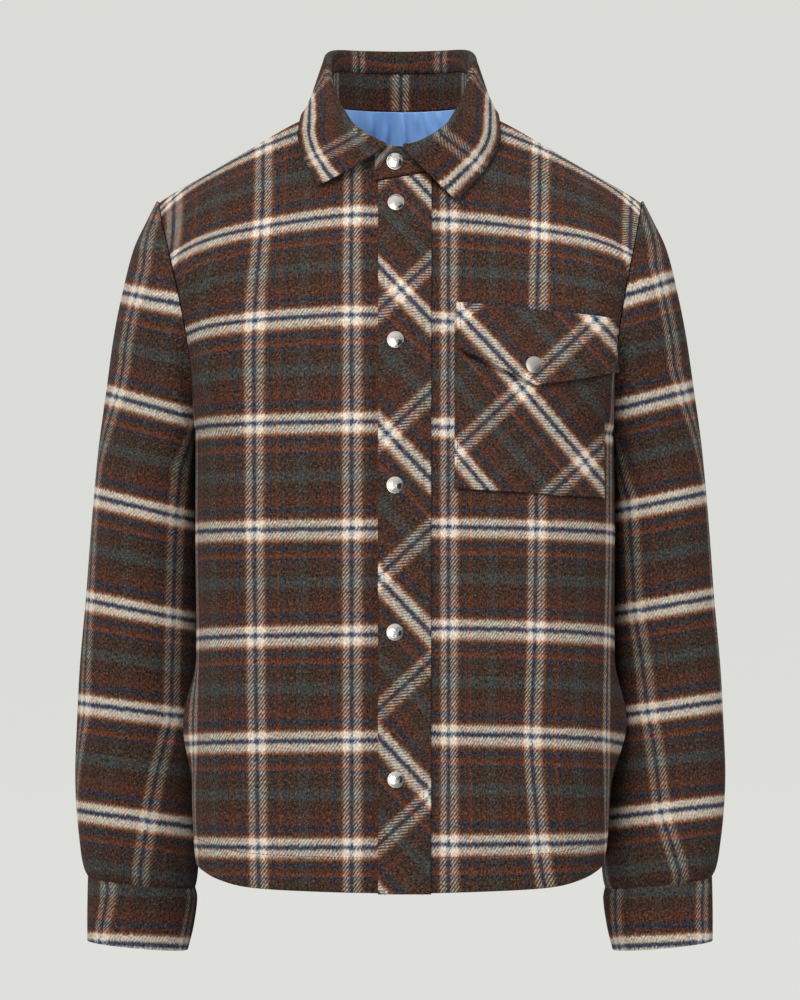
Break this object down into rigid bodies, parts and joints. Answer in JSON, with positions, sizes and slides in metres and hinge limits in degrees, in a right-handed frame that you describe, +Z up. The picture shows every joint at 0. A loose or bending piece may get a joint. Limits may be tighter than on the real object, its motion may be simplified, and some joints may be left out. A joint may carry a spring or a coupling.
{
  "type": "shacket",
  "caption": "Hip-length plaid wool overshirt with a folded collar, a covered front closing with snaps, a flapped chest pocket and cuffed sleeves, in the hollow form it has when worn.",
  "frame": {"origin": "midway between the shoulders at the height of the shoulder seam beside the collar, where the wearer's shoulders carry the garment", "axes": "+Z up, -Y out of the front, +X to the wearer's left"},
  "size_m": [0.6094, 0.2854, 0.8456],
  "materials": {
    "plaid_wool": "brushed plaid twill on the straight grain",
    "bias_plaid_wool": "the same brushed plaid cut on the bias",
    "blue_satin": "smooth blue lining",
    "polished_metal": "polished, slightly worn"
  },
  "bodies": {
    "root": {"front_right": "plaid_wool", "front_left": "plaid_wool", "back": "plaid_wool", "back_lining": "blue_satin", "sleeve_right": "plaid_wool", "sleeve_left": "plaid_wool", "cuff_right": "plaid_wool", "cuff_left": "plaid_wool", "collar_stand": "plaid_wool", "collar_leaf": "plaid_wool", "placket": "bias_plaid_wool", "chest_pocket": "bias_plaid_wool", "pocket_flap": "bias_plaid_wool", "snap_1": "polished_metal", "snap_2": "polished_metal", "snap_3": "polished_metal", "snap_4": "polished_metal", "snap_5": "polished_metal", "snap_6": "polished_metal", "snap_pocket": "polished_metal"}
  },
  "joints": []
}
